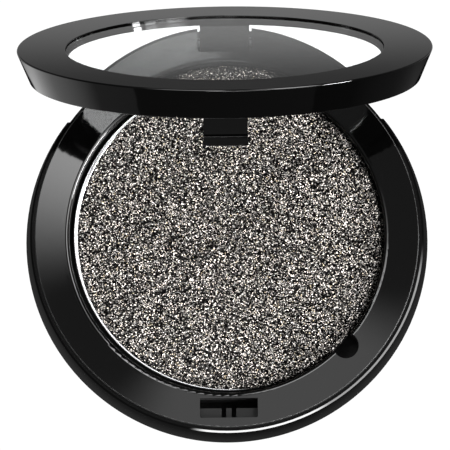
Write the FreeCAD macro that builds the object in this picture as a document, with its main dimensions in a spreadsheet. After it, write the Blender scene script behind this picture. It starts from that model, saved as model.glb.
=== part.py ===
"""Round single-pan eyeshadow compact: a two-part base, a lift-out powder pan and a hinged lid with a window.

Millimetres. The origin is the centre of the underside, +Z is up, +Y is towards the hinge and -Y towards
the latch. The lid is modelled shut and then turned open about the hinge pin.
"""

import FreeCAD
import Part
import Sketcher
import math
import os
import re

# Driving dimensions: every name has an underscore, so that an expression can be told from a function.
DRIVING = [
    # Powder pan
    ("pan_radius", 18.5, "outside of the drawn tin pan"),
    ("pan_height", 3.4, "depth of the pan, outside"),
    ("pan_wall", 0.47, "tinplate"),
    ("pan_corner", 0.7, "outside round where the pan's wall meets its floor"),
    ("pan_edge", 0.1, "rounded rim"),
    ("pan_gap", 0.3, "radial play of the pan in its well"),
    ("pan_shift", 0.22, "the pan lies this far to the right in its play"),
    ("pan_recess", 0.85, "pan's rim below the outer edge of the face"),
    ("cake_dip", 0.08, "powder below the pan's rim"),
    # Crescent crease pressed in the powder
    ("crease_arc", 25.0, "radius of the crease, seen from above"),
    ("crease_round", 4.0, "radius of the crease's rounded section"),
    ("crease_depth", 0.28, "deepest point, half way along"),
    ("crease_off", 1.5, "middle of the crease from the pan's centre"),
    ("crease_turn", 125.0, "degrees, direction from the pan's centre to the middle of the crease"),
    ("crease_tilt", 5.0, "degrees, makes the crease run out at both ends"),
    # Magnet under the pan
    ("magnet_radius", 9.0, "flexible magnet disc"),
    ("magnet_thickness", 0.8, "flexible magnet disc"),
    ("magnet_gap", 0.05, "play of the magnet in its pocket"),
    # Tray
    ("tray_floor", 1.4, "floor of the pan's well"),
    ("tray_room", 1.15, "hollow between the tray and the shell's floor"),
    ("tray_fit", 0.05, "radial play of the tray in the shell"),
    ("face_rise", 0.29, "the dished face climbs this much towards the well"),
    ("face_bow", 47.4, "radius of the dished face's section"),
    ("face_margin", 1.14, "face in front of the latch slot"),
    ("face_step", 1.05, "face's outer edge above the shell's edge"),
    ("face_ledge", 0.58, "shell's edge showing round the face"),
    ("face_round", 0.1, "round on the face's outer edge"),
    ("mouth_round", 0.48, "round at the mouth of the well"),
    ("pry_radius", 1.55, "finger notch for lifting the pan"),
    ("pry_out", 0.55, "centre of the finger notch outside the well"),
    ("pry_angle", -43.6, "degrees from +X"),
    # Latch
    ("slot_width", 6.9, "latch slot in the face"),
    ("slot_depth", 2.3, "latch slot, front to back"),
    ("slot_wall", 0.7, "wall between slot and well"),
    ("slot_round", 0.2, "corners of the slot"),
    ("catch_drop", 0.8, "top of the catch below the face"),
    ("catch_height", 1.1, "thickness of the catch"),
    ("catch_post", 0.65, "middle tooth of the catch"),
    ("catch_slit", 0.55, "slits on both sides of the middle tooth"),
    ("catch_gap", 0.12, "rib to catch, front to back"),
    ("catch_play", 0.3, "rib below the catch when shut"),
    ("tab_width", 5.1, "snap tab of the lid"),
    ("tab_thickness", 0.6, "snap tab of the lid"),
    ("tab_gap", 0.2, "tab to the back wall of the slot"),
    ("tab_tip", 0.9, "tab below its rib"),
    ("tab_round", 0.08, "rounded tip of the tab"),
    ("tab_root", 0.4, "tab let into the lid's ring"),
    ("rib_height", 0.2, "snap rib, standing out from the tab"),
    ("rib_width", 0.5, "snap rib, along the tab"),
    ("rib_round", 0.05, "crest of the rib"),
    # Shell
    ("shell_wall", 1.16, "wall at the shell's top edge"),
    ("shell_floor", 1.3, "floor of the shell"),
    ("shell_flare", 0.63, "the wall widens this much towards the foot"),
    ("shell_bevel", 0.22, "bevel on the shell's top edge, seen from above"),
    ("bevel_angle", 33.0, "degrees, fall of that bevel"),
    ("foot_round", 0.3, "round at the foot"),
    ("rear_inset", 0.25, "shell cut back behind, where the lid swings down"),
    ("rear_angle", 36.9, "degrees from +X where the cut in the flare begins"),
    # Label
    ("label_inset", 5.94, "edge of the label inside the face's outer edge"),
    ("label_gap", 0.1, "play of the label in its recess"),
    ("label_recess", 0.3, "depth of the recess"),
    ("label_thickness", 0.15, "paper sticker"),
    # Hinge
    ("hinge_inset", 1.44, "hinge axis inside the face's outer edge"),
    ("hinge_drop", 2.0, "hinge axis below the face's outer edge"),
    ("pin_radius", 0.55, "steel pin"),
    ("pin_hold", 2.75, "pin let into the seat on each side of the notch"),
    ("pin_chamfer", 0.12, "on both ends"),
    ("seat_gap", 0.02, "pin in the shell's seats"),
    ("bore_gap", 0.04, "pin in the lid's tongue"),
    ("barrel_wall", 0.65, "tongue round the pin"),
    ("tongue_width", 5.9, "tongue of the lid"),
    ("tongue_root", 0.5, "tongue let into the lid's ring"),
    ("notch_side", 0.3, "notch to tongue, each side"),
    ("notch_gap", 0.2, "notch to tongue, in front"),
    ("notch_swing", 0.6, "room under the tongue"),
    ("notch_round", 0.5, "inner corners of the notch"),
    ("lug_end", 0.25, "seat past the end of the pin"),
    ("lug_wall", 0.8, "seat in front of the pin"),
    ("lug_gap", 0.15, "tray to pin seats"),
    ("lug_sink", 0.05, "top of the seats below the tray's flange"),
    ("relief_gap", 0.3, "lid to the tray's back corner as the lid swings"),
    ("relief_angle", 42.0, "degrees, relief round the back of the lid's mating edge"),
    ("lid_open", 70.9, "degrees"),
    # Lid
    ("lid_gap", 0.2, "lid to face when shut"),
    ("lid_flare", 1.535, "the lid widens this much towards its top"),
    ("lid_land", 1.54, "width of the lid's mating edge"),
    ("lid_round", 0.14, "round on the lid's top edge"),
    ("land_round", 0.15, "round on the lid's mating edge"),
    ("lip_inset", 0.07, "window opening inside the well's radius"),
    ("lip_round", 0.06, "round on the opening's edge"),
    ("ledge_inset", 0.55, "ledge under the window above the mating edge"),
    ("ledge_height", 0.43, "thickness of the ledge"),
    ("ledge_width", 0.3, "window resting on the ledge"),
    ("window_fit", 0.05, "radial play of the window"),
    ("window_thickness", 2.5, "clear disc"),
    ("window_sunk", 0.2, "window below the lid's top"),
    ("window_round", 0.08, "on the window's edges"),
]

# Places and sizes that follow from the driving dimensions, from the pan outwards and from the floor upwards.
DERIVED = [
    ("well_radius", "pan_radius + pan_gap"),
    ("slot_back", "well_radius + slot_wall"),
    ("slot_front", "slot_back + slot_depth"),
    ("face_radius", "slot_front + face_margin"),
    ("shell_radius", "face_radius + face_ledge"),
    ("shell_bore", "shell_radius - shell_wall"),
    ("base_radius", "shell_radius + shell_flare"),
    ("rear_radius", "shell_radius - rear_inset"),
    ("plug_radius", "shell_bore - tray_fit"),
    ("label_radius", "face_radius - label_inset"),
    ("tray_under", "shell_floor + tray_room"),
    ("well_floor", "tray_under + tray_floor"),
    ("pan_rim", "well_floor + pan_height"),
    ("face_z", "pan_rim + pan_recess"),
    ("face_lip", "face_z + face_rise"),
    ("cake_top", "pan_rim - cake_dip"),
    ("shell_top", "face_z - face_step"),
    ("hinge_y", "face_radius - hinge_inset"),
    ("hinge_z", "face_z - hinge_drop"),
    ("bore_radius", "pin_radius + bore_gap"),
    ("barrel_radius", "bore_radius + barrel_wall"),
    ("notch_half", "tongue_width / 2 + notch_side"),
    ("notch_front", "hinge_y - barrel_radius - notch_gap"),
    ("notch_floor", "hinge_z - barrel_radius - notch_swing"),
    ("pin_half", "notch_half + pin_hold"),
    ("lug_half", "pin_half + lug_end"),
    ("lug_front", "hinge_y - pin_radius - lug_wall"),
    ("lug_top", "shell_top - lug_sink"),
    ("corner_back", "sqrt(face_radius ^ 2 - notch_half ^ 2) - hinge_y"),
    ("relief_top", "hinge_z + sqrt(corner_back ^ 2 + hinge_drop ^ 2) + relief_gap"),
    ("mate_z", "face_z + lid_gap"),
    ("ledge_low", "mate_z + ledge_inset"),
    ("window_low", "ledge_low + ledge_height"),
    ("window_top", "window_low + window_thickness"),
    ("lid_top", "window_top + window_sunk"),
    ("lid_radius", "face_radius + lid_flare"),
    ("land_radius", "face_radius - lid_land"),
    ("lip_radius", "well_radius - lip_inset"),
    ("window_radius", "lip_radius - window_fit"),
    ("ledge_radius", "window_radius - ledge_width"),
    ("catch_top", "face_z - catch_drop"),
    ("catch_under", "catch_top - catch_height"),
    ("rib_top", "catch_under - catch_play"),
    ("rib_low", "rib_top - rib_width"),
    ("tip_z", "rib_low - tab_tip"),
    ("tab_back", "slot_back + tab_gap"),
    ("tab_front", "tab_back + tab_thickness"),
    ("rib_front", "tab_front + rib_height"),
    ("catch_back", "rib_front + catch_gap"),
]

doc = FreeCAD.newDocument("compact")
sizes = doc.addObject("Spreadsheet::Sheet", "Sizes")


def fill_sheet():
    """Write the driving numbers and the formulas that follow from them, each with its alias."""
    rows = [(name, str(number), note) for name, number, note in DRIVING]
    rows += [(name, "=" + formula, "follows") for name, formula in DERIVED]
    for row, (name, content, note) in enumerate(rows, start=1):
        sizes.set(f"A{row}", name)
        sizes.set(f"B{row}", content)
        sizes.set(f"C{row}", note)
        sizes.setAlias(f"B{row}", name)
    doc.recompute()


def bound(text):
    """The expression with the sheet's name put before each alias in it."""
    return re.sub(r"[a-z]+(?:_[a-z]+)+", lambda alias: "Sizes." + alias.group(), str(text))


def value(text):
    """The number that an expression gives now."""
    return float(sizes.evalExpression(bound(text)))


def bind(thing, prop, text):
    """Tie a property of an object to an expression on the sheet."""
    thing.setExpression(prop, bound(text))


def fix(sketch, constraint, text):
    """Add a dimension to a sketch and tie it to an expression."""
    bind(sketch, f"Constraints[{sketch.addConstraint(constraint)}]", text)


def new_body(label):
    """A body that carries the name of its piece."""
    body = doc.addObject("PartDesign::Body", label)
    body.Label = label
    return body


def new_sketch(body, name, plane, level="0"):
    """A sketch on one of the body's own planes, raised to a level."""
    planes = {feature.Role: feature for feature in body.Origin.OriginFeatures}
    sketch = body.newObject("Sketcher::SketchObject", name)
    sketch.AttachmentSupport = (planes[plane], [""])
    sketch.MapMode = "FlatFace"
    bind(sketch, "AttachmentOffset.Base.z", level)
    return sketch


def arc_between(start, end, radius, left):
    """The arc from start to end with its centre to the left or right of the way, and which end is which."""
    way = end - start
    across = FreeCAD.Vector(-way.y, way.x, 0).normalize() * (1 if left else -1)
    centre = (start + end) * 0.5 + across * math.sqrt(radius ** 2 - (way.Length / 2) ** 2)
    ends = (start, end) if left else (end, start)
    first, last = (math.atan2(point.y - centre.y, point.x - centre.x) for point in ends)
    if last < first:
        last += 2 * math.pi
    circle = Part.Circle(centre, FreeCAD.Vector(0, 0, 1), radius)
    return Part.ArcOfCircle(circle, first, last), (1, 2) if left else (2, 1)


def draw_outline(sketch, corners, bows=()):
    """Draw a closed outline through corners.

    Each corner is (across, up) or (across, up, rounding). bows maps the number of a side, counted from
    its first corner, to (radius, centre lies to the left) where that side is an arc.
    """
    bows = dict(bows)
    count = len(corners)
    places = [FreeCAD.Vector(value(corner[0]), value(corner[1]), 0) for corner in corners]
    rounds = [corner[2] if len(corner) > 2 else None for corner in corners]
    marks = []
    for place, corner in zip(places, corners):
        mark = sketch.addGeometry(Part.Point(place), True)
        fix(sketch, Sketcher.Constraint("DistanceX", -1, 1, mark, 1, place.x), corner[0])
        fix(sketch, Sketcher.Constraint("DistanceY", -1, 1, mark, 1, place.y), corner[1])
        marks.append(mark)
    leaves = list(places)
    arrives = list(places)
    for i, rounding in enumerate(rounds):
        if rounding is not None:
            back = (places[i - 1] - places[i]).normalize()
            ahead = (places[(i + 1) % count] - places[i]).normalize()
            reach = value(rounding) / math.tan(back.getAngle(ahead) / 2)
            arrives[i] = places[i] + back * reach
            leaves[i] = places[i] + ahead * reach
    sides = []
    for i in range(count):
        start, end = leaves[i], arrives[(i + 1) % count]
        if i in bows:
            shape, ends = arc_between(start, end, value(bows[i][0]), bows[i][1])
        else:
            shape, ends = Part.LineSegment(start, end), (1, 2)
        side = sketch.addGeometry(shape, False)
        sides.append((side, ends))
    for i, (side, ends) in enumerate(sides):
        if i in bows:
            fix(sketch, Sketcher.Constraint("Radius", side, value(bows[i][0])), bows[i][0])
    for i, rounding in enumerate(rounds):
        (before, before_ends), (after, after_ends) = sides[i - 1], sides[i]
        if rounding is None:
            sketch.addConstraint(Sketcher.Constraint("Coincident", before, before_ends[1], marks[i], 1))
            sketch.addConstraint(Sketcher.Constraint("Coincident", after, after_ends[0], marks[i], 1))
            continue
        back, ahead = places[i] - places[i - 1], places[(i + 1) % count] - places[i]
        left = back.cross(ahead).z > 0
        shape, ends = arc_between(arrives[i], leaves[i], value(rounding), left)
        arc = sketch.addGeometry(shape, False)
        sketch.addConstraint(Sketcher.Constraint("PointOnObject", marks[i], 1, before))
        sketch.addConstraint(Sketcher.Constraint("PointOnObject", marks[i], 1, after))
        sketch.addConstraint(Sketcher.Constraint("Tangent", before, before_ends[1], arc, ends[0]))
        sketch.addConstraint(Sketcher.Constraint("Tangent", arc, ends[1], after, after_ends[0]))
        fix(sketch, Sketcher.Constraint("Radius", arc, value(rounding)), rounding)


def draw_circle(sketch, across, up, radius):
    """Draw a circle with its centre and radius tied to expressions."""
    centre = FreeCAD.Vector(value(across), value(up), 0)
    circle = sketch.addGeometry(Part.Circle(centre, FreeCAD.Vector(0, 0, 1), value(radius)), False)
    fix(sketch, Sketcher.Constraint("DistanceX", -1, 1, circle, 3, centre.x), across)
    fix(sketch, Sketcher.Constraint("DistanceY", -1, 1, circle, 3, centre.y), up)
    fix(sketch, Sketcher.Constraint("Radius", circle, value(radius)), radius)


def box_corners(left, right, low, high):
    """The corners of a rectangle."""
    return [(left, low), (right, low), (right, high), (left, high)]


def settle(body, feature, grows):
    """Recompute, and stop if the feature didn't add or remove material."""
    before = feature.BaseFeature.Shape.Volume if feature.BaseFeature else 0.0
    doc.recompute()
    change = body.Shape.Volume - before
    if (change > 0) != grows or abs(change) < 1e-6:
        raise RuntimeError(f"{body.Label}.{feature.Name} changed the volume by {change:.4f} mm3")


def revolve(body, name, corners, bows=(), plane="XZ_Plane", axis="V_Axis"):
    """Turn a half section round an axis of its sketch."""
    sketch = new_sketch(body, name + "_section", plane)
    draw_outline(sketch, corners, bows)
    turned = body.newObject("PartDesign::Revolution", name)
    turned.Profile = sketch
    turned.ReferenceAxis = (sketch, [axis])
    settle(body, turned, True)


def groove(body, name, corners, angle):
    """Cut a section out along an arc behind the middle, as far to the left as to the right."""
    sketch = new_sketch(body, name + "_section", "YZ_Plane")
    draw_outline(sketch, corners)
    cut = body.newObject("PartDesign::Groove", name)
    cut.Profile = sketch
    cut.ReferenceAxis = (sketch, ["V_Axis"])
    cut.Midplane = True
    bind(cut, "Angle", angle)
    settle(body, cut, False)


def extrude(body, name, kind, sketch, length, symmetric=False):
    """Pad a sketch upwards or pocket it downwards, or either to both sides alike."""
    feature = body.newObject("PartDesign::" + kind, name)
    feature.Profile = sketch
    feature.SideType = "Symmetric" if symmetric else "One side"
    bind(feature, "Length", length)
    settle(body, feature, kind == "Pad")


def pocket(body, name, corners, top, depth, bows=()):
    """Cut an outline, seen from above, downwards from a level."""
    sketch = new_sketch(body, name + "_outline", "XY_Plane", top)
    draw_outline(sketch, corners, bows)
    extrude(body, name, "Pocket", sketch, depth)


def round_pocket(body, name, centre, radius, top, depth):
    """Cut a round hole downwards from a level."""
    sketch = new_sketch(body, name + "_outline", "XY_Plane", top)
    draw_circle(sketch, centre[0], centre[1], radius)
    extrude(body, name, "Pocket", sketch, depth)


def open_lid(piece):
    """Turn a piece of the lid open about the hinge axis."""
    bind(
        piece,
        "Placement",
        "create(<<placement>>; create(<<vector>>; 0; 0; 0);"
        " create(<<rotation>>; create(<<vector>>; 1; 0; 0); -lid_open);"
        " create(<<vector>>; 0; hinge_y; hinge_z))",
    )


def shift_pan(piece):
    """Lay a piece of the pan to one side of the well, in its play."""
    bind(piece, "Placement.Base.x", "pan_shift")


def symmetric_feature(body, name, kind, width, corners=None, circle=None):
    """Pad or pocket a side view, in Y and Z, to the same width on both sides of the middle."""
    sketch = new_sketch(body, name + "_outline", "YZ_Plane")
    if corners:
        draw_outline(sketch, corners)
    if circle:
        draw_circle(sketch, *circle)
    extrude(body, name, kind, sketch, width, symmetric=True)


def cylinder(label, radius, low, height):
    """A plain disc that stands on the axis."""
    disc = doc.addObject("Part::Cylinder", label)
    disc.Label = label
    bind(disc, "Radius", radius)
    bind(disc, "Height", height)
    bind(disc, "Placement.Base.z", low)
    return disc


def make_base_shell():
    """Outer cup: flared wall, foot ring, pin seats and the cut that lets the lid swing down behind."""
    shell = new_body("base_shell")
    revolve(shell, "cup", [
        ("0", "label_recess"),
        ("label_radius + label_gap", "label_recess"),
        ("label_radius + label_gap", "0"),
        ("base_radius", "0", "foot_round"),
        ("shell_radius", "shell_top - shell_bevel * tan(bevel_angle)"),
        ("shell_radius - shell_bevel", "shell_top"),
        ("shell_bore", "shell_top"),
        ("shell_bore", "shell_floor"),
        ("0", "shell_floor"),
    ])
    lugs = new_sketch(shell, "lugs_outline", "XY_Plane", "shell_floor")
    draw_outline(lugs, box_corners("-lug_half", "lug_half", "lug_front", "shell_bore + shell_wall / 2"))
    extrude(shell, "lugs", "Pad", lugs, "lug_top - shell_floor")
    pocket(
        shell,
        "hinge_notch",
        box_corners("-notch_half", "notch_half", "lug_front - lug_gap", "base_radius + lug_gap"),
        "shell_top",
        "shell_top - notch_floor",
    )
    seat = "(pin_radius + seat_gap)"
    width = "2 * (pin_half + seat_gap)"
    symmetric_feature(shell, "seat_bore", "Pocket", width, circle=("hinge_y", "hinge_z", seat))
    mouth = box_corners(f"hinge_y - {seat}", f"hinge_y + {seat}", "hinge_z", "shell_top + lug_sink")
    symmetric_feature(shell, "seat_mouth", "Pocket", width, corners=mouth)
    across, back = "rear_radius * cos(rear_angle)", "rear_radius * sin(rear_angle)"
    far = "2 * base_radius"
    pocket(
        shell,
        "rear_cut",
        [(across, back), (far, back), (far, far), (f"-{far}", far), (f"-{far}", back), (f"-{across}", back)],
        "shell_top",
        "shell_top",
        bows={5: ("rear_radius", False)},
    )
    return shell


def make_inner_tray():
    """Dished face and pan well in one moulding, let into the shell up to its flange."""
    tray = new_body("inner_tray")
    revolve(tray, "dish", [
        ("0", "tray_under"),
        ("plug_radius", "tray_under"),
        ("plug_radius", "shell_top"),
        ("face_radius", "shell_top"),
        ("face_radius", "face_z", "face_round"),
        ("well_radius", "face_lip", "mouth_round"),
        ("well_radius", "well_floor"),
        ("0", "well_floor"),
    ], bows={4: ("face_bow", False)})
    pocket(
        tray,
        "lug_room",
        box_corners("-lug_half - lug_gap", "lug_half + lug_gap", "lug_front - lug_gap", "base_radius"),
        "shell_top",
        "shell_top - tray_under",
    )
    pocket(
        tray,
        "hinge_notch",
        [
            ("-notch_half", "notch_front", "notch_round"),
            ("notch_half", "notch_front", "notch_round"),
            ("notch_half", "base_radius"),
            ("-notch_half", "base_radius"),
        ],
        "face_lip",
        "face_lip - notch_floor",
    )
    side = "slot_width / 2"
    pocket(
        tray,
        "slot_under",
        box_corners(f"-{side}", side, "-slot_front", "-slot_back"),
        "catch_under",
        "catch_under - tray_under",
    )
    pocket(
        tray,
        "slot_throat",
        box_corners(f"-{side}", side, "-catch_back", "-slot_back"),
        "face_lip",
        "face_lip - catch_under",
    )
    mouth = box_corners(f"-{side}", side, "-slot_front", "-catch_back")
    pocket(
        tray,
        "slot_mouth",
        [(*corner, "slot_round") for corner in mouth[:2]] + mouth[2:],
        "face_lip",
        "face_lip - catch_top",
    )
    near, far = "catch_post / 2", "(catch_post / 2 + catch_slit)"
    for name, left, right in (("left_slit", f"-{far}", f"-{near}"), ("right_slit", near, far)):
        slit = box_corners(left, right, "-slot_front", "-catch_back")
        pocket(tray, name, slit, "catch_top", "catch_height")
    reach = "(well_radius + pry_out)"
    centre = (f"{reach} * cos(pry_angle)", f"{reach} * sin(pry_angle)")
    round_pocket(tray, "pry_notch", centre, "pry_radius", "face_lip", "face_lip - well_floor")
    round_pocket(
        tray,
        "magnet_pocket",
        ("0", "0"),
        "magnet_radius + magnet_gap",
        "well_floor",
        "magnet_thickness + magnet_gap",
    )
    return tray


def make_magnet():
    """Flexible disc in the floor of the well, a little below the pan."""
    low = "well_floor - magnet_thickness - magnet_gap"
    return cylinder("pan_magnet", "magnet_radius", low, "magnet_thickness")


def make_label():
    """Plain paper sticker in the recess of the underside."""
    low = "label_recess - label_thickness"
    return cylinder("shade_label", "label_radius", low, "label_thickness")


def make_pan():
    """Drawn tin pan, round at its foot."""
    pan = new_body("pan")
    revolve(pan, "drawn_cup", [
        ("0", "well_floor"),
        ("pan_radius", "well_floor", "pan_corner"),
        ("pan_radius", "pan_rim", "pan_edge"),
        ("pan_radius - pan_wall", "pan_rim", "pan_edge"),
        ("pan_radius - pan_wall", "well_floor + pan_wall", "pan_corner - pan_wall"),
        ("0", "well_floor + pan_wall"),
    ])
    shift_pan(pan)
    return pan


def make_powder():
    """Pressed cake that fills the pan, with one plain crescent crease across its top."""
    cake = new_body("powder_cake")
    revolve(cake, "pressed_cake", [
        ("0", "well_floor + pan_wall"),
        ("pan_radius - pan_wall", "well_floor + pan_wall", "pan_corner - pan_wall"),
        ("pan_radius - pan_wall", "cake_top"),
        ("0", "cake_top"),
    ])
    crease = cake.newObject("PartDesign::SubtractiveTorus", "crease")
    bind(crease, "Radius1", "crease_arc")
    bind(crease, "Radius2", "crease_round")
    # The ring lies on its side of the pan and leans, so that only its lowest part dips into the powder.
    centre = "(crease_off - crease_arc * cos(crease_tilt))"
    level = "cake_top - crease_depth + crease_round + crease_arc * sin(crease_tilt)"
    bind(
        crease,
        "Placement",
        f"create(<<placement>>; create(<<vector>>; {centre} * cos(crease_turn);"
        f" {centre} * sin(crease_turn); {level});"
        " create(<<rotation>>; create(<<vector>>; 0; 0; 1); crease_turn)"
        " * create(<<rotation>>; create(<<vector>>; 0; 1; 0); crease_tilt))",
    )
    settle(cake, crease, False)
    shift_pan(cake)
    return cake


def make_hinge_pin():
    """Steel pin through the lid's tongue, resting in the shell's seats under the tray's flange."""
    pin = new_body("hinge_pin")
    revolve(pin, "rod", [
        ("-pin_half", "0"),
        ("pin_half", "0"),
        ("pin_half", "pin_radius - pin_chamfer"),
        ("pin_half - pin_chamfer", "pin_radius"),
        ("-pin_half + pin_chamfer", "pin_radius"),
        ("-pin_half", "pin_radius - pin_chamfer"),
    ], plane="XY_Plane", axis="H_Axis")
    bind(pin, "Placement.Base.y", "hinge_y")
    bind(pin, "Placement.Base.z", "hinge_z")
    return pin


def make_lid_frame():
    """Ring of the lid, with the hinge tongue behind and the snap tab in front."""
    frame = new_body("lid_frame")
    revolve(frame, "ring", [
        ("ledge_radius", "ledge_low"),
        ("land_radius", "ledge_low"),
        ("land_radius", "mate_z"),
        ("face_radius", "mate_z", "land_round"),
        ("lid_radius", "lid_top", "lid_round"),
        ("lip_radius", "lid_top", "lip_round"),
        ("lip_radius", "window_low"),
        ("ledge_radius", "window_low"),
    ])
    relief = box_corners("ledge_radius - window_fit", "lid_radius", "face_z", "relief_top")
    groove(frame, "swing_relief", relief, "relief_angle")
    back, front = "hinge_y + barrel_radius", "hinge_y - barrel_radius"
    stem = box_corners(front, back, "hinge_z", "window_low + tongue_root")
    symmetric_feature(frame, "tongue", "Pad", "tongue_width", corners=stem)
    barrel = ("hinge_y", "hinge_z", "barrel_radius")
    symmetric_feature(frame, "barrel", "Pad", "tongue_width", circle=barrel)
    bore = ("hinge_y", "hinge_z", "bore_radius")
    symmetric_feature(frame, "bore", "Pocket", "tongue_width + notch_side", circle=bore)
    tab = [
        ("-tab_front", "tip_z", "tab_round"),
        ("-tab_back", "tip_z", "tab_round"),
        ("-tab_back", "window_low + tab_root"),
        ("-tab_front", "window_low + tab_root"),
    ]
    symmetric_feature(frame, "tab", "Pad", "tab_width", corners=tab)
    middle = "-(tab_back + tab_thickness / 2)"
    rib = [
        (middle, "rib_low"),
        (middle, "rib_top"),
        ("-tab_front", "rib_top"),
        ("-rib_front", "(rib_low + rib_top) / 2", "rib_round"),
        ("-tab_front", "rib_low"),
    ]
    symmetric_feature(frame, "rib", "Pad", "tab_width", corners=rib)
    open_lid(frame)
    return frame


def make_lid_window():
    """Clear disc, let into the ring from above onto its ledge."""
    window = new_body("lid_window")
    revolve(window, "disc", [
        ("0", "window_low"),
        ("window_radius", "window_low", "window_round"),
        ("window_radius", "window_top", "window_round"),
        ("0", "window_top"),
    ])
    open_lid(window)
    return window


def check_document():
    """Stop if any object of the document failed."""
    failed = [item.Name for item in doc.Objects if {"Invalid", "Error"} & set(item.State)]
    if failed:
        raise RuntimeError(f"failed objects: {failed}")


def main():
    """Build every piece, check it and write it out."""
    fill_sheet()
    makers = (
        make_base_shell,
        make_inner_tray,
        make_magnet,
        make_label,
        make_pan,
        make_powder,
        make_hinge_pin,
        make_lid_frame,
        make_lid_window,
    )
    pieces = [make() for make in makers]
    doc.recompute()
    check_document()
    for piece in pieces:
        shape = piece.Shape
        if shape.isNull() or not shape.isValid() or len(shape.Solids) != 1:
            raise RuntimeError(f"{piece.Label} is not one sound solid")
    os.makedirs("parts", exist_ok=True)
    for piece in pieces:
        piece.Shape.exportStep(f"parts/{piece.Label}.step")
        box = piece.Shape.optimalBoundingBox()
        size = f"{box.XLength:.2f} x {box.YLength:.2f} x {box.ZLength:.2f} mm"
        print(f"{piece.Label}: {size}, {piece.Shape.Volume:.1f} mm3")


main()
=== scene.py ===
"""Looks of a round single-pan eyeshadow compact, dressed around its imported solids.

The black mouldings, the tin pan, the hinge pin and the clear window keep their solids and get
their finishes here. The powder is modelled afresh: a pressed cake with its crease and grain, and
loose glitter platelets on it. Lengths in the dataclasses are millimetres, and meshes are in metres.
"""

from __future__ import annotations

import logging
import math
import random
from dataclasses import dataclass, field
from enum import Enum
from typing import Any, Sequence

import bmesh
import bpy
from mathutils import Matrix, Vector, noise

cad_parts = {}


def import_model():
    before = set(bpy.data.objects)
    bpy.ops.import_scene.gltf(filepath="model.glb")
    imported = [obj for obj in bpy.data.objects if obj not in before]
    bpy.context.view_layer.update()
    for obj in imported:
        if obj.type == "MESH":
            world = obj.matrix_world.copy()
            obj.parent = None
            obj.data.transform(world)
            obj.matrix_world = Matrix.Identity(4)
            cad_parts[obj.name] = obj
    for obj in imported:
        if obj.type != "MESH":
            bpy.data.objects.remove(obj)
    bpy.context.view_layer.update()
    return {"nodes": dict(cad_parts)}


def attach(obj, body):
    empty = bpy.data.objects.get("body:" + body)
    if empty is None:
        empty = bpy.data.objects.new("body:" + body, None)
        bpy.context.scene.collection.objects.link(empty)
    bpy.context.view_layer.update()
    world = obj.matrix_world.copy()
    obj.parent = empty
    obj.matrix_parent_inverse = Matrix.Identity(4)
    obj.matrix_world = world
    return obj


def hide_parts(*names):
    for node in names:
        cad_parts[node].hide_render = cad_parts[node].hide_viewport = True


MM = 0.001
WHITE = "#ffffff"
FADE_IN = (0.0, 1.0)
FADE_OUT = (1.0, 0.0)
log = logging.getLogger("compact")


class Body(Enum):
    """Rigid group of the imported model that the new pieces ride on."""

    PAN = "powder_pan"


class Slot(Enum):
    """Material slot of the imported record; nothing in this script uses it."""

    POWDER = "glitter_powder"


class Measure(Enum):
    """What a fade of the floor's glow is measured along, from the middle of the base."""

    RADIUS = "radius"
    ACROSS = "X"
    ALONG = "Y"


def linear(code: str) -> tuple[float, float, float, float]:
    """Turn an sRGB hex colour into linear RGBA.

    Args:
        code: Colour such as "#1a1a1c".

    Returns:
        Linear red, green, blue and an alpha of 1.
    """
    values = [int(code[i:i + 2], 16) / 255 for i in (1, 3, 5)]
    curve = [v / 12.92 if v <= 0.04045 else ((v + 0.055) / 1.055) ** 2.4 for v in values]
    return (curve[0], curve[1], curve[2], 1.0)


def add_node(
    tree: bpy.types.NodeTree, kind: str, inputs: dict[Any, Any] | None = None, **settings: Any
) -> Any:
    """Add a node with its settings, and link or set its inputs.

    Args:
        tree: Node tree to add to.
        kind: Blender's identifier of the node.
        inputs: Input name or number to a value, or to the output socket to link from.
        **settings: Attributes of the node.

    Returns:
        The new node.
    """
    node = tree.nodes.new(kind)
    for name, setting in settings.items():
        setattr(node, name, setting)
    for name, given in (inputs or {}).items():
        if isinstance(given, bpy.types.NodeSocket):
            tree.links.new(given, node.inputs[name])
        else:
            node.inputs[name].default_value = given
    return node


def combine(tree: bpy.types.NodeTree, operation: str, values: Sequence[Any]) -> Any:
    """Multiply or add several values.

    Args:
        tree: Node tree to add to.
        operation: "MULTIPLY" or "ADD".
        values: Sockets or numbers.

    Returns:
        Socket of the product or the sum.
    """
    result = values[0]
    for value in values[1:]:
        step = add_node(tree, "ShaderNodeMath", {0: value, 1: result}, operation=operation)
        result = step.outputs["Value"]
    return result


def new_material(name: str) -> tuple[bpy.types.Material, bpy.types.NodeTree, Any]:
    """Make a material with one Principled shader.

    Args:
        name: Name of the material.

    Returns:
        The material, its node tree and its Principled node.
    """
    material = bpy.data.materials.new(name)
    material.use_nodes = True
    tree = material.node_tree
    return material, tree, tree.nodes["Principled BSDF"]


def per_metre(millimetres: float) -> float:
    """Texture scale whose features are this many millimetres wide."""
    return 1.0 / (millimetres * MM)


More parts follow.
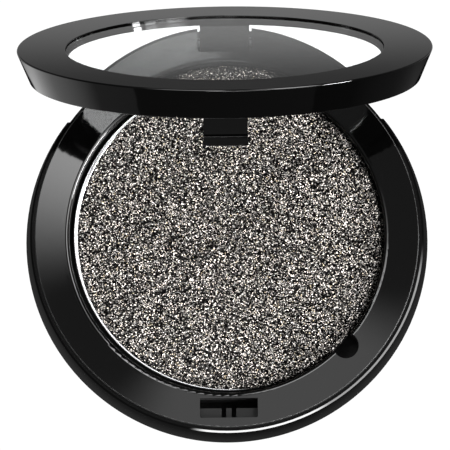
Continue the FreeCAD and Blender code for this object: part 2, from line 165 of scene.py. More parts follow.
@dataclass(frozen=True)
class BlackMoulding:
    """Black ABS from a polished mould: a deep black skin that mirrors the studio.

    A trace of orange peel ripples it. Pockets keep the mould's spark-eroded texture, so that they
    stay matt and dark. They are everything nearer to the axis than the pocket's radius, between
    the two heights. Beyond the scuff radius the edge is rubbed dull.
    """

    name: str
    colour: str = "#020202"
    ior: float = 1.5
    roughness_low: float = 0.03
    roughness_high: float = 0.06
    peel_mm: float = 2.4
    peel_height_mm: float = 0.0006
    haze_mm: float = 6.0
    pocket_radius: float = 0.0
    pocket_low: float = 0.0
    pocket_high: float = 0.0
    pocket_roughness: float = 0.85
    scuff_radius: float = 0.0
    scuff_roughness: float = 0.5

    def make(self) -> bpy.types.Material:
        """Build the material.

        Returns:
            The new material.
        """
        material, tree, shader = new_material(self.name)
        place = add_node(tree, "ShaderNodeTexCoord").outputs["Object"]
        haze = add_node(
            tree,
            "ShaderNodeTexNoise",
            {"Vector": place, "Scale": per_metre(self.haze_mm), "Detail": 3.0},
        )
        gloss = add_node(
            tree,
            "ShaderNodeMapRange",
            {
                "Value": haze.outputs["Fac"],
                "To Min": self.roughness_low,
                "To Max": self.roughness_high,
            },
        )
        roughness = gloss.outputs["Result"]
        if self.pocket_radius:
            roughness = add_node(
                tree,
                "ShaderNodeMix",
                {"Factor": self.in_pocket(tree, place), "A": roughness, "B": self.pocket_roughness},
            ).outputs["Result"]
        if self.scuff_radius:
            scuffed = add_node(
                tree,
                "ShaderNodeMath",
                {0: self.from_axis(tree, place), 1: self.scuff_radius * MM},
                operation="GREATER_THAN",
            )
            roughness = add_node(
                tree,
                "ShaderNodeMix",
                {"Factor": scuffed.outputs["Value"], "A": roughness, "B": self.scuff_roughness},
            ).outputs["Result"]
        peel = add_node(
            tree,
            "ShaderNodeTexNoise",
            {"Vector": place, "Scale": per_metre(self.peel_mm), "Detail": 1.0},
        )
        bump = add_node(
            tree,
            "ShaderNodeBump",
            {"Height": peel.outputs["Fac"], "Distance": self.peel_height_mm * MM, "Strength": 1.0},
        )
        shader.inputs["Base Color"].default_value = linear(self.colour)
        shader.inputs["IOR"].default_value = self.ior
        tree.links.new(roughness, shader.inputs["Roughness"])
        tree.links.new(bump.outputs["Normal"], shader.inputs["Normal"])
        return material

    @staticmethod
    def from_axis(tree: bpy.types.NodeTree, place: Any) -> Any:
        """Distance from the compact's upright axis.

        Args:
            tree: Node tree of the material.
            place: Socket with the object's coordinates.

        Returns:
            Socket with metres.
        """
        level = add_node(
            tree, "ShaderNodeVectorMath", {0: place, 1: (1.0, 1.0, 0.0)}, operation="MULTIPLY"
        )
        out = add_node(
            tree, "ShaderNodeVectorMath", {0: level.outputs["Vector"]}, operation="LENGTH"
        )
        return out.outputs["Value"]

    def in_pocket(self, tree: bpy.types.NodeTree, place: Any) -> Any:
        """Tell pockets from the polished skin.

        Args:
            tree: Node tree of the material.
            place: Socket with the object's coordinates.

        Returns:
            Socket that is 1 in a pocket and 0 elsewhere.
        """
        spot = add_node(tree, "ShaderNodeSeparateXYZ", {"Vector": place})
        limits = (
            ("LESS_THAN", self.from_axis(tree, place), self.pocket_radius),
            ("LESS_THAN", spot.outputs["Z"], self.pocket_high),
            ("GREATER_THAN", spot.outputs["Z"], self.pocket_low),
        )
        tests = [
            add_node(tree, "ShaderNodeMath", {0: measure, 1: limit * MM}, operation=operation)
            for operation, measure, limit in limits
        ]
        return combine(tree, "MULTIPLY", [test.outputs["Value"] for test in tests])


@dataclass(frozen=True)
class ClearAcrylic:
    """Cast acrylic, polished on both faces: clear, and a mirror at a low angle.

    Its sawn edge sits in black cement, so that it stays dark beyond the clear radius, measured
    Beyond the clear radius, measured from the middle of the disc, its edge is painted black and
    made
    opaque: painted shade that stands in for the black ring seen through the edge, and that hides
    the reflections inside the plate.
    """

    name: str = "clear_cast_acrylic"
    colour: str = "#fbfdfd"
    painted_edge_shade: str = "#020202"
    middle: tuple[float, float, float] = (0.0, 18.651, 27.866)
    clear_radius: float = 18.66
    ior: float = 1.49
    roughness: float = 0.0
    ripple_mm: float = 9.0
    ripple_height_mm: float = 0.0004

    def make(self) -> bpy.types.Material:
        """Build the material.

        Returns:
            The new material.
        """
        material, tree, shader = new_material(self.name)
        place = add_node(tree, "ShaderNodeTexCoord").outputs["Object"]
        ripple = add_node(
            tree,
            "ShaderNodeTexNoise",
            {"Vector": place, "Scale": per_metre(self.ripple_mm), "Detail": 0.0},
        )
        bump = add_node(
            tree,
            "ShaderNodeBump",
            {
                "Height": ripple.outputs["Fac"],
                "Distance": self.ripple_height_mm * MM,
                "Strength": 1.0,
            },
        )
        out = add_node(
            tree,
            "ShaderNodeVectorMath",
            {0: place, 1: tuple(along * MM for along in self.middle)},
            operation="DISTANCE",
        )
        # Painted shade: beyond the clear radius the plate is black and opaque, standing in for the
        # black ring behind its edge.
        clear = add_node(
            tree,
            "ShaderNodeMath",
            {0: out.outputs["Value"], 1: self.clear_radius * MM},
            operation="LESS_THAN",
        )
        colour = add_node(
            tree,
            "ShaderNodeMix",
            {
                "Factor": clear.outputs["Value"],
                "A": linear(self.painted_edge_shade),
                "B": linear(self.colour),
            },
            data_type="RGBA",
        )
        shader.inputs["IOR"].default_value = self.ior
        shader.inputs["Roughness"].default_value = self.roughness
        tree.links.new(colour.outputs["Result"], shader.inputs["Base Color"])
        tree.links.new(clear.outputs["Value"], shader.inputs["Transmission Weight"])
        tree.links.new(bump.outputs["Normal"], shader.inputs["Normal"])
        return material


@dataclass(frozen=True)
class DrawnMetal:
    """Bright metal with the fine lines that drawing through a die leaves along it."""

    name: str
    colour: str
    roughness_low: float
    roughness_high: float
    line_mm: tuple[float, float, float]
    line_height_mm: float = 0.0008

    def make(self) -> bpy.types.Material:
        """Build the material.

        Returns:
            The new material.
        """
        material, tree, shader = new_material(self.name)
        place = add_node(tree, "ShaderNodeTexCoord").outputs["Object"]
        stretch = add_node(
            tree,
            "ShaderNodeMapping",
            {"Vector": place, "Scale": tuple(per_metre(width) for width in self.line_mm)},
        )
        lines = add_node(
            tree,
            "ShaderNodeTexNoise",
            {"Vector": stretch.outputs["Vector"], "Scale": 1.0, "Detail": 3.0},
        )
        gloss = add_node(
            tree,
            "ShaderNodeMapRange",
            {
                "Value": lines.outputs["Fac"],
                "To Min": self.roughness_low,
                "To Max": self.roughness_high,
            },
        )
        bump = add_node(
            tree,
            "ShaderNodeBump",
            {"Height": lines.outputs["Fac"], "Distance": self.line_height_mm * MM, "Strength": 1.0},
        )
        shader.inputs["Base Color"].default_value = linear(self.colour)
        shader.inputs["Metallic"].default_value = 1.0
        tree.links.new(gloss.outputs["Result"], shader.inputs["Roughness"])
        tree.links.new(bump.outputs["Normal"], shader.inputs["Normal"])
        return material


@dataclass(frozen=True)
class MattSheet:
    """Matt sheet stock, such as sticker paper or ferrite rubber: mottled and slightly fibrous."""

    name: str
    dark: str
    light: str
    roughness: float
    mottle_mm: float
    mottle_height_mm: float

    def make(self) -> bpy.types.Material:
        """Build the material.

        Returns:
            The new material.
        """
        material, tree, shader = new_material(self.name)
        place = add_node(tree, "ShaderNodeTexCoord").outputs["Object"]
        mottle = add_node(
            tree,
            "ShaderNodeTexNoise",
            {"Vector": place, "Scale": per_metre(self.mottle_mm), "Detail": 5.0},
        )
        colour = add_node(
            tree,
            "ShaderNodeMix",
            {"Factor": mottle.outputs["Fac"], "A": linear(self.dark), "B": linear(self.light)},
            data_type="RGBA",
        )
        bump = add_node(
            tree,
            "ShaderNodeBump",
            {
                "Height": mottle.outputs["Fac"],
                "Distance": self.mottle_height_mm * MM,
                "Strength": 1.0,
            },
        )
        shader.inputs["Roughness"].default_value = self.roughness
        tree.links.new(colour.outputs["Result"], shader.inputs["Base Color"])
        tree.links.new(bump.outputs["Normal"], shader.inputs["Normal"])
        return material


@dataclass(frozen=True)
class GlitterPowder:
    """Pressed mica and glitter in a dark binder: tiny mirrors, bright or black by their tilt.

    The grains are drawn a little coarser than real mica, because finer ones would blur to an even
    grey. The mean colour is what a grain's random colour is on average, and a grain leans by how
    far its own colour is from that.
    """

    name: str = "pressed_glitter_powder"
    grain_mm: float = 0.095
    contrast: float = 11.0
    dark: str = "#010101"
    warm: str = "#eadfd3"
    cool: str = "#dedcdb"
    mean_colour: tuple[float, float, float] = (0.5, 0.5, 0.5)
    tilt: float = 1.0
    metallic: float = 0.55
    specular: float = 0.05
    roughness: float = 0.35

    def make(self) -> bpy.types.Material:
        """Build the material.

        Returns:
            The new material.
        """
        material, tree, shader = new_material(self.name)
        place = add_node(tree, "ShaderNodeTexCoord").outputs["Object"]
        grain = add_node(
            tree, "ShaderNodeTexVoronoi", {"Vector": place, "Scale": per_metre(self.grain_mm)}
        )
        chance = add_node(tree, "ShaderNodeSeparateColor", {"Color": grain.outputs["Color"]})
        bright = add_node(
            tree, "ShaderNodeMath", {0: chance.outputs["Red"], 1: self.contrast}, operation="POWER"
        )
        tint = add_node(
            tree,
            "ShaderNodeMix",
            {"Factor": chance.outputs["Green"], "A": linear(self.warm), "B": linear(self.cool)},
            data_type="RGBA",
        )
        colour = add_node(
            tree,
            "ShaderNodeMix",
            {
                "Factor": bright.outputs["Value"],
                "A": linear(self.dark),
                "B": tint.outputs["Result"],
            },
            data_type="RGBA",
        )
        lean = add_node(
            tree,
            "ShaderNodeVectorMath",
            {0: grain.outputs["Color"], 1: self.mean_colour},
            operation="SUBTRACT",
        )
        scaled = add_node(
            tree,
            "ShaderNodeVectorMath",
            {0: lean.outputs["Vector"], "Scale": self.tilt},
            operation="SCALE",
        )
        flat = add_node(tree, "ShaderNodeNewGeometry")
        tilted = add_node(
            tree,
            "ShaderNodeVectorMath",
            {0: flat.outputs["Normal"], 1: scaled.outputs["Vector"]},
            operation="ADD",
        )
        normal = add_node(
            tree, "ShaderNodeVectorMath", {0: tilted.outputs["Vector"]}, operation="NORMALIZE"
        )
        shader.inputs["Metallic"].default_value = self.metallic
        shader.inputs["Roughness"].default_value = self.roughness
        shader.inputs["Specular IOR Level"].default_value = self.specular
        tree.links.new(colour.outputs["Result"], shader.inputs["Base Color"])
        tree.links.new(normal.outputs["Vector"], shader.inputs["Normal"])
        return material


@dataclass(frozen=True)
class FoilGlitter:
    """Metallised polyester film, die-cut to hexagons: tiny mirrors in silver and champagne."""

    name: str = "metallised_film_glitter"
    silver: str = "#b9b6b1"
    champagne: str = "#b6a483"
    tint_mm: float = 0.4
    roughness: float = 0.3

    def make(self) -> bpy.types.Material:
        """Build the material.

        Returns:
            The new material.
        """
        material, tree, shader = new_material(self.name)
        place = add_node(tree, "ShaderNodeTexCoord").outputs["Object"]
        patch = add_node(
            tree, "ShaderNodeTexVoronoi", {"Vector": place, "Scale": per_metre(self.tint_mm)}
        )
        chance = add_node(tree, "ShaderNodeSeparateColor", {"Color": patch.outputs["Color"]})
        colour = add_node(
            tree,
            "ShaderNodeMix",
            {
                "Factor": chance.outputs["Red"],
                "A": linear(self.silver),
                "B": linear(self.champagne),
            },
            data_type="RGBA",
        )
        shader.inputs["Metallic"].default_value = 1.0
        shader.inputs["Roughness"].default_value = self.roughness
        tree.links.new(colour.outputs["Result"], shader.inputs["Base Color"])
        return material


def dress(node: bpy.types.Object, material: bpy.types.Material) -> None:
    """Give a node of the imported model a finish.

    Args:
        node: Object of the node.
        material: Finish for its whole surface.
    """
    for slot in node.material_slots:
        slot.material = material
    log.info("%s: %s", node.name, material.name)


def finish_mesh(
    name: str, work: bmesh.types.BMesh, material: bpy.types.Material
) -> bpy.types.Object:
    """Turn a bmesh into an object at the origin.

    Args:
        name: Name of the piece.
        work: Finished bmesh, which is freed.
        material: Finish of the piece.

    Returns:
        The new object.
    """
    mesh = bpy.data.meshes.new(name)
    work.to_mesh(mesh)
    work.free()
    mesh.materials.append(material)
    piece = bpy.data.objects.new(name, mesh)
    bpy.context.scene.collection.objects.link(piece)
    log.info("%s: %d faces", name, len(mesh.polygons))
    return piece


@dataclass
class PowderPan:
    """Tin pan with its pressed cake of glitter powder.

    The powder is smeared over parts of the pan's rim. The table of spill gives the share of the
    smear by bearing, in degrees from +X, anticlockwise, and the rest of the rim is wiped clean.
    """

    shift: float = 0.22
    cake_radius: float = 18.03
    cake_low: float = 4.32
    cake_top: float = 7.17
    foot_round: float = 0.23
    spill_reach: float = 0.48
    spill_rise: float = 0.12
    spill_rise_gain: float = 4.0
    spill_start: float = 0.5
    spill_by_bearing: tuple[tuple[float, float], ...] = (
        (0.0, 1.0),
        (105.0, 1.0),
        (140.0, 0.1),
        (160.0, 0.0),
        (184.0, 0.0),
        (200.0, 0.32),
        (225.0, 0.47),
        (255.0, 0.62),
        (270.0, 0.7),
        (284.0, 1.0),
        (360.0, 1.0),
    )
    rings: int = 110
    sectors: int = 288
    weld: float = 0.0001
    top_slack: float = 0.01
    crease_arc: float = 25.0
    crease_round: float = 4.0
    crease_depth: float = 0.28
    crease_off: float = 1.5
    crease_turn: float = 125.0
    crease_tilt: float = 5.0
    grain_width: float = 0.55
    grain_height: float = 0.012
    tin: DrawnMetal = field(
        default_factory=lambda: DrawnMetal(
            "bright_drawn_tinplate", "#d2d2d4", 0.16, 0.3, line_mm=(0.5, 0.5, 4.0)
        )
    )
    powder: GlitterPowder = field(default_factory=GlitterPowder)
    platelets: int = 2600
    platelet_lots: int = 52
    platelet_sides: int = 6
    platelet_radius: tuple[float, float] = (0.045, 0.08)
    platelet_thickness: float = 0.012
    platelet_tilt: float = 22.0
    platelet_seed: int = 7
    foil: FoilGlitter = field(default_factory=FoilGlitter)

    def crease(self, across: float, along: float) -> float:
        """Depth of the pressed crescent at a place on the cake.

        Args:
            across: Millimetres from the pan's centre along X.
            along: Millimetres from the pan's centre along Y.

        Returns:
            Depth in millimetres, 0 outside the crease.
        """
        turn, tilt = math.radians(self.crease_turn), math.radians(self.crease_tilt)
        reach = self.crease_off - self.crease_arc * math.cos(tilt)
        offset = Vector((across - reach * math.cos(turn), along - reach * math.sin(turn)))
        swing = math.atan2(offset.y, offset.x) - turn
        rise = self.crease_arc * (1 - math.cos(swing)) * math.sin(tilt)
        side = offset.length - self.crease_arc
        return max(0.0, self.crease_depth - rise - side * side / (2 * self.crease_round))

    def relief(self, across: float, along: float) -> float:
        """Height of the powder over the cake's flat top, from its grain and its crease.

        Args:
            across: Millimetres from the pan's centre along X.
            along: Millimetres from the pan's centre along Y.

        Returns:
            Height in millimetres.
        """
        spot = Vector((across, along, 0.0)) / self.grain_width
        return noise.noise(spot) * self.grain_height - self.crease(across, along)

    def spill(self, across: float, along: float) -> float:
        """How much of the pan's rim the powder is smeared over, in the direction of a place.

        Args:
            across: Millimetres from the pan's centre along X.
            along: Millimetres from the pan's centre along Y.

        Returns:
            0 where the rim is wiped clean, up to 1 where it is covered.
        """
        bearing = math.degrees(math.atan2(along, across)) % 360.0
        table = self.spill_by_bearing
        for (first, low), (last, high) in zip(table, table[1:]):
            if bearing <= last:
                return low + (high - low) * (bearing - first) / (last - first)
        return 1.0

    def shape_top(self, vert: bmesh.types.BMVert) -> None:
        """Move a vertex of the cake's flat top into the crease, the grain and the rim's smear.

        Args:
            vert: Vertex to move.
        """
        across, along = vert.co.x / MM, vert.co.y / MM
        radius = math.hypot(across, along) or 1.0
        edge = max(0.0, 1 - (self.cake_radius - radius) / self.spill_start)
        spill = self.spill(across, along)
        # The inner half of the edge rises to the rim, and the outer half spreads over it.
        spread = 1 + max(0.0, 2 * edge - 1) * spill * self.spill_reach / radius
        rise = min(1.0, 2 * edge) * min(1.0, self.spill_rise_gain * spill) * self.spill_rise
        vert.co.x *= spread
        vert.co.y *= spread
        vert.co.z += (rise + self.relief(across, along)) * MM

    def build_cake(self) -> None:
        """Model the cake as a spun section whose top is creased and slightly grainy."""
        work = bmesh.new()
        steps = range(self.rings + 1)
        top = [(self.cake_radius * step / self.rings, self.cake_top) for step in steps]
        foot = [
            (self.cake_radius, self.cake_low + self.foot_round),
            (self.cake_radius - self.foot_round, self.cake_low),
            (0.0, self.cake_low),
        ]
        section = [work.verts.new((out * MM, 0.0, height * MM)) for out, height in top + foot]
        edges = [work.edges.new(pair) for pair in zip(section, section[1:])]
        bmesh.ops.spin(
            work,
            geom=section + edges,
            cent=(0.0, 0.0, 0.0),
            axis=(0.0, 0.0, 1.0),
            angle=math.tau,
            steps=self.sectors,
            use_merge=True,
        )
        bmesh.ops.remove_doubles(work, verts=work.verts, dist=self.weld * MM)
        for vert in work.verts:
            if vert.co.z > (self.cake_top - self.top_slack) * MM:
                self.shape_top(vert)
        bmesh.ops.recalc_face_normals(work, faces=work.faces)
        bmesh.ops.translate(work, verts=work.verts, vec=(self.shift * MM, 0.0, 0.0))
        for face in work.faces:
            face.smooth = True
        cake = finish_mesh("glitter_cake", work, self.powder.make())
        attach(cake, Body.PAN.value)
        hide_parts("powder_cake")

    def lay_platelet(self, work: bmesh.types.BMesh, chance: random.Random) -> None:
        """Press one hexagon of foil into the powder.

        Args:
            work: Mesh to add it to.
            chance: Source of its place, size and lean.
        """
        radius = (self.cake_radius - self.spill_start) * math.sqrt(chance.random())
        bearing = chance.uniform(0.0, math.tau)
        across, along = radius * math.cos(bearing), radius * math.sin(bearing)
        height = self.cake_top + self.relief(across, along)
        spot = Vector((across + self.shift, along, height))
        lean = Matrix.Rotation(math.radians(chance.gauss(0.0, self.platelet_tilt)), 4, "X")
        turn = Matrix.Rotation(chance.uniform(0.0, math.tau), 4, "Z")
        size = chance.uniform(*self.platelet_radius) * MM
        bmesh.ops.create_cone(
            work,
            cap_ends=True,
            segments=self.platelet_sides,
            radius1=size,
            radius2=size,
            depth=self.platelet_thickness * MM,
            matrix=Matrix.Translation(spot * MM) @ turn @ lean,
        )

    def scatter_platelets(self) -> None:
        """Strew the foil, in small lots because adding to a large mesh is slow."""
        chance = random.Random(self.platelet_seed)
        work = bmesh.new()
        for _ in range(self.platelet_lots):
            lot = bmesh.new()
            for _ in range(self.platelets // self.platelet_lots):
                self.lay_platelet(lot, chance)
            strewn = bpy.data.meshes.new("platelet_lot")
            lot.to_mesh(strewn)
            lot.free()
            work.from_mesh(strewn)
            bpy.data.meshes.remove(strewn)
        glitter = finish_mesh("glitter_platelets", work, self.foil.make())
        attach(glitter, Body.PAN.value)

    def build(self, nodes: dict[str, bpy.types.Object]) -> None:
        """Dress the pan, fill it and strew the glitter.

        Args:
            nodes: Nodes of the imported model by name.
        """
        dress(nodes["pan"], self.tin.make())
        self.build_cake()
        self.scatter_platelets()


@dataclass
class BaseCase:
    """Shell, tray and the small pieces that stay with them."""

    shell: BlackMoulding = field(
        default_factory=lambda: BlackMoulding(
            "black_abs_shell", pocket_radius=22.45, pocket_low=1.0, pocket_high=6.99
        )
    )
    tray: BlackMoulding = field(
        default_factory=lambda: BlackMoulding(
            "black_abs_tray",
            pocket_radius=22.45,
            pocket_low=-1.0,
            pocket_high=7.5,
            scuff_radius=22.82,
        )
    )
    wire: DrawnMetal = field(
        default_factory=lambda: DrawnMetal(
            "drawn_steel_wire", "#b9babc", 0.2, 0.38, line_mm=(3.0, 0.2, 0.2)
        )
    )
    magnet: MattSheet = field(
        default_factory=lambda: MattSheet(
            "ferrite_rubber_sheet",
            "#1b1715",
            "#2c2724",
            0.75,
            mottle_mm=0.4,
            mottle_height_mm=0.004,
        )
    )
    sticker: MattSheet = field(
        default_factory=lambda: MattSheet(
            "satin_black_sticker_paper",
            "#141416",
            "#1f1f22",
            0.42,
            mottle_mm=0.25,
            mottle_height_mm=0.002,
        )
    )

    def build(self, nodes: dict[str, bpy.types.Object]) -> None:
        """Dress the pieces of the base.

        Args:
            nodes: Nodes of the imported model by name.
        """
        dress(nodes["base_shell"], self.shell.make())
        dress(nodes["inner_tray"], self.tray.make())
        dress(nodes["hinge_pin"], self.wire.make())
        dress(nodes["pan_magnet"], self.magnet.make())
        dress(nodes["shade_label"], self.sticker.make())


@dataclass
class HingedLid:
    """Black ring of the lid and its clear window."""

    ring: BlackMoulding = field(default_factory=lambda: BlackMoulding("black_abs_lid"))
    window: ClearAcrylic = field(default_factory=ClearAcrylic)

    def build(self, nodes: dict[str, bpy.types.Object]) -> None:
        """Dress the pieces of the lid.

        Args:
            nodes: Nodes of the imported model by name.
        """
        dress(nodes["lid_frame"], self.ring.make())
        dress(nodes["lid_window"], self.window.make())


@dataclass(frozen=True)
class Fade:
    """Smooth change of a light from its level at the start of a stretch to that at its end."""

    span: tuple[float, float]
    ends: tuple[float, float] = FADE_IN

    def follow(self, tree: bpy.types.NodeTree, value: Any, unit: float = 1.0) -> Any:
        """Add the fade to a node tree.

        Args:
            tree: Node tree to add to.
            value: Socket with the place along the stretch.
            unit: What one of the stretch's numbers is in the socket's unit.

        Returns:
            Socket with the level.
        """
        level = add_node(
            tree,
            "ShaderNodeMapRange",
            {
                "Value": value,
                "From Min": self.span[0] * unit,
                "From Max": self.span[1] * unit,
                "To Min": self.ends[0],
                "To Max": self.ends[1],
            },
            interpolation_type="SMOOTHSTEP",
        )
        return level.outputs["Result"]


@dataclass(frozen=True)
class Softbox:
    """Large light of the tent, as a sector of bearings that fades at both sides.

    Bearings are degrees from +X, anticlockwise. The light starts at the first of a pair and is
    full at the second, and fades the same way at its end. Its low and high sides are sines of the
    elevation. An overhead box counts its bearings round the point that the flat face mirrors, a
    low one round the zenith.
    """

    name: str
    radiance: float
    start: tuple[float, float]
    end: tuple[float, float]
    low: tuple[float, float]
    high: tuple[float, float] = (1.1, 1.2)
    overhead: bool = True

    @property
    def middle(self) -> float:
        """Bearing of the middle of its full part."""
        return (self.start[1] + self.end[0]) / 2


@dataclass
class Studio:
    """White floor, light tent and the camera.

    The tent's cloth brightens with the sine of the elevation. Its lights leave a gap round the
    direction that level faces mirror to the camera. The glows are what the glossy black mirrors of
    the floor, by parts of it: ahead and to the left, behind, and close to the foot.
    """

    softboxes: tuple[Softbox, ...] = (
        Softbox("left_back", 6.8, start=(86.0, 98.0), end=(147.0, 199.0), low=(0.70, 0.82)),
        Softbox("front", 1.35, start=(-128.0, -106.0), end=(-42.0, -18.0), low=(0.90, 0.95)),
        Softbox(
            "fill_right",
            8.5,
            start=(-45.0, -30.0),
            end=(60.0, 75.0),
            low=(0.60, 0.66),
            high=(0.87, 0.90),
            overhead=False,
        ),
        Softbox(
            "strip_front",
            26.0,
            start=(-103.0, -97.0),
            end=(-62.0, -54.0),
            low=(0.455, 0.475),
            high=(0.52, 0.54),
            overhead=False,
        ),
        Softbox(
            "glint_right",
            140.0,
            start=(-38.0, -35.0),
            end=(-10.0, -7.0),
            low=(0.235, 0.25),
            high=(0.32, 0.335),
            overhead=False,
        ),
        Softbox(
            "strip_right",
            9.0,
            start=(-62.0, -54.0),
            end=(-6.0, 6.0),
            low=(0.385, 0.405),
            high=(0.495, 0.515),
            overhead=False,
        ),
    )
    cloth: Fade = Fade((0.3, 0.9), (0.06, 0.19))
    mirror_gap: Fade = Fade((0.030, 0.048))
    mirror_lean: float = 0.111
    seen_white: float = 1.06
    white_through_window: float = 2.6
    floor_side: float = 3000.0
    floor_drop: float = 0.02
    glow_ahead: tuple[tuple[Measure, Fade], ...] = (
        (Measure.RADIUS, Fade((34.5, 36.5), (0.012, 1.2))),
        (Measure.RADIUS, Fade((37.0, 60.0), (1.0, 0.6))),
        (Measure.RADIUS, Fade((60.0, 160.0), (1.0, 0.28))),
        (Measure.ALONG, Fade((10.0, 24.0), FADE_OUT)),
        (Measure.ACROSS, Fade((-20.0, 10.0), (1.0, 0.06))),
    )
    glow_behind: tuple[tuple[Measure, Fade], ...] = (
        (Measure.ALONG, Fade((31.0, 42.0), (0.42, 0.09))),
        (Measure.ALONG, Fade((20.0, 28.0))),
    )
    glow_by_foot: tuple[tuple[Measure, Fade], ...] = (
        (Measure.RADIUS, Fade((24.25, 25.3), (0.05, 0.014))),
        (Measure.RADIUS, Fade((27.2, 29.5), FADE_OUT)),
        (Measure.ALONG, Fade((-16.0, 0.0), (1.0, 0.45))),
    )
    elevation_deg: float = 83.66
    roll_deg: float = 0.677
    distance: float = 1057.5
    aim_right: float = -0.207
    aim_up: float = 1.230
    aim_height: float = 8.4
    focal: float = 709.1
    sensor: float = 36.0
    clip: tuple[float, float] = (10.0, 20000.0)

    def turn_from(self, tree: bpy.types.NodeTree, way: Any, box: Softbox) -> Any:
        """Bearing of a direction, counted from the middle of a light.

        Args:
            tree: Node tree of the world.
            way: Socket with the direction looked in.
            box: Light to count from.

        Returns:
            Socket with degrees from -180 to 180.
        """
        part = add_node(tree, "ShaderNodeSeparateXYZ", {"Vector": way}).outputs
        lean = -self.mirror_lean if box.overhead else 0.0
        along = add_node(
            tree,
            "ShaderNodeMath",
            {0: part["Z"], 1: lean, 2: part["Y"]},
            operation="MULTIPLY_ADD",
        )
        turn = add_node(
            tree, "ShaderNodeMath", {0: along.outputs["Value"], 1: part["X"]}, operation="ARCTAN2"
        )
        degrees = add_node(
            tree,
            "ShaderNodeMath",
            {0: turn.outputs["Value"], 1: math.degrees(1.0), 2: -box.middle},
            operation="MULTIPLY_ADD",
        )
        wrapped = add_node(
            tree,
            "ShaderNodeMath",
            {0: degrees.outputs["Value"], 1: 180.0, 2: -180.0},
            operation="WRAP",
        )
        return wrapped.outputs["Value"]

    @staticmethod
    def seen_straight(tree: bpy.types.NodeTree) -> Any:
        """Tell what is seen past the object or through its window from what lights or mirrors.

        Args:
            tree: Node tree to add to.

        Returns:
            Socket that is 1 where a ray met nothing but clear acrylic on its way.
        """
        path = add_node(tree, "ShaderNodeLightPath").outputs
        # Both depths are whole numbers, so that less than a half apart is equal.
        same = add_node(
            tree,
            "ShaderNodeMath",
            {0: path["Ray Depth"], 1: path["Transmission Depth"], 2: 0.5},
            operation="COMPARE",
        )
        return same.outputs["Value"]

    def build_tent(self) -> None:
        """Light tent: dim cloth all round, with the softboxes on it."""
        world = bpy.data.worlds.new("light_tent")
        bpy.context.scene.world = world
        world.use_nodes = True
        tree = world.node_tree
        backdrop = tree.nodes["Background"]
        way = add_node(tree, "ShaderNodeTexCoord").outputs["Generated"]
        height = add_node(tree, "ShaderNodeSeparateXYZ", {"Vector": way}).outputs["Z"]
        rise = math.radians(self.elevation_deg)
        mirrored = (0.0, math.cos(rise), math.sin(rise))
        off = add_node(tree, "ShaderNodeVectorMath", {0: way, 1: mirrored}, operation="DISTANCE")
        total = self.cloth.follow(tree, height)
        for box in self.softboxes:
            turn = self.turn_from(tree, way, box)
            start = (box.start[0] - box.middle, box.start[1] - box.middle)
            end = (box.end[0] - box.middle, box.end[1] - box.middle)
            factors = (
                box.radiance,
                Fade(start).follow(tree, turn),
                Fade(end, FADE_OUT).follow(tree, turn),
                Fade(box.low).follow(tree, height),
                Fade(box.high, FADE_OUT).follow(tree, height),
                self.mirror_gap.follow(tree, off.outputs["Value"]),
            )
            total = combine(tree, "ADD", (total, combine(tree, "MULTIPLY", factors)))
            log.info("light %s: radiance %g", box.name, box.radiance)
        strength = add_node(
            tree,
            "ShaderNodeMix",
            {"Factor": self.seen_straight(tree), "A": total, "B": self.seen_white},
        )
        tree.links.new(strength.outputs["Result"], backdrop.inputs["Strength"])
        backdrop.inputs["Color"].default_value = linear(WHITE)

    def mirrored_glow(self, tree: bpy.types.NodeTree) -> Any:
        """Glow of the floor that the glossy black mirrors.

        Args:
            tree: Node tree of the floor's material.

        Returns:
            Socket with the strength.
        """
        place = add_node(tree, "ShaderNodeTexCoord").outputs["Object"]
        spot = add_node(tree, "ShaderNodeSeparateXYZ", {"Vector": place}).outputs
        out = add_node(tree, "ShaderNodeVectorMath", {0: place}, operation="LENGTH")
        measures = {
            Measure.RADIUS: out.outputs["Value"],
            Measure.ACROSS: spot[Measure.ACROSS.value],
            Measure.ALONG: spot[Measure.ALONG.value],
        }
        glows = []
        for part in (self.glow_ahead, self.glow_behind, self.glow_by_foot):
            factors = [fade.follow(tree, measures[measure], MM) for measure, fade in part]
            glows.append(combine(tree, "MULTIPLY", factors))
        return combine(tree, "ADD", glows)

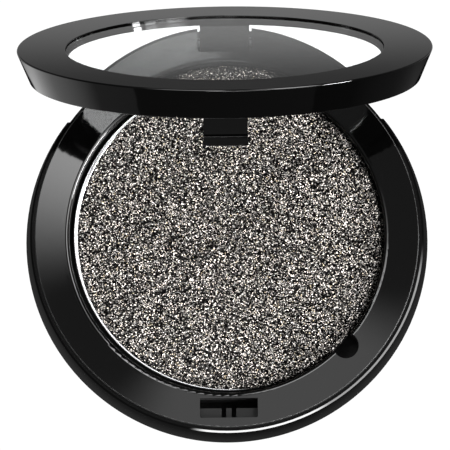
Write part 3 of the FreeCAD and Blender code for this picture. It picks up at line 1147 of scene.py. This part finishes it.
    def build_floor(self) -> None:
        """White floor that is dim where the glossy black mirrors it, as a tent's dark foot is."""
        work = bmesh.new()
        bmesh.ops.create_grid(work, x_segments=1, y_segments=1, size=self.floor_side / 2 * MM)
        bmesh.ops.translate(work, verts=work.verts, vec=(0.0, 0.0, -self.floor_drop * MM))
        material = bpy.data.materials.new("studio_floor")
        material.use_nodes = True
        tree = material.node_tree
        tree.nodes.remove(tree.nodes["Principled BSDF"])
        output = tree.nodes["Material Output"]
        path = add_node(tree, "ShaderNodeLightPath").outputs
        lit = add_node(
            tree,
            "ShaderNodeMix",
            {"Factor": path["Is Glossy Ray"], "A": self.seen_white, "B": self.mirrored_glow(tree)},
        )
        white = add_node(
            tree,
            "ShaderNodeMix",
            {
                "Factor": path["Is Camera Ray"],
                "A": self.white_through_window,
                "B": self.seen_white,
            },
        )
        strength = add_node(
            tree,
            "ShaderNodeMix",
            {
                "Factor": self.seen_straight(tree),
                "A": lit.outputs["Result"],
                "B": white.outputs["Result"],
            },
        )
        glow = add_node(
            tree,
            "ShaderNodeEmission",
            {"Color": linear(WHITE), "Strength": strength.outputs["Result"]},
        )
        tree.links.new(glow.outputs["Emission"], output.inputs["Surface"])
        finish_mesh("studio_floor", work, material)

    def build_camera(self) -> None:
        """Place the camera as the photograph was taken."""
        rise, roll = math.radians(self.elevation_deg), math.radians(self.roll_deg)
        towards = Vector((0.0, -math.cos(rise), math.sin(rise)))
        across = Vector((1.0, 0.0, 0.0))
        upward = Vector((0.0, math.sin(rise), math.cos(rise)))
        right = across * math.cos(roll) - upward * math.sin(roll)
        up = across * math.sin(roll) + upward * math.cos(roll)
        middle = Vector((0.0, 0.0, self.aim_height))
        aim = middle + across * self.aim_right + upward * self.aim_up
        data = bpy.data.cameras.new("photo_camera")
        data.sensor_fit = "HORIZONTAL"
        data.sensor_width = self.sensor
        data.lens = self.focal
        data.clip_start = self.clip[0] * MM
        data.clip_end = self.clip[1] * MM
        camera = bpy.data.objects.new("photo_camera", data)
        turn = Matrix((right, up, towards)).transposed()
        stand = Matrix.Translation((aim + towards * self.distance) * MM)
        camera.matrix_world = stand @ turn.to_4x4()
        bpy.context.scene.collection.objects.link(camera)
        bpy.context.scene.camera = camera

    def build(self) -> None:
        """Set up the whole studio."""
        bpy.context.scene.view_settings.view_transform = "Standard"
        self.build_tent()
        self.build_floor()
        self.build_camera()


def main() -> None:
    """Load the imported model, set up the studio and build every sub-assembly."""
    logging.basicConfig(level=logging.INFO, format="%(name)s %(message)s")
    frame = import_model()
    Studio().build()
    for assembly in (BaseCase(), PowderPan(), HingedLid()):
        assembly.build(frame["nodes"])
        log.info("%s built", type(assembly).__name__)


if __name__ == "__main__":
    main()
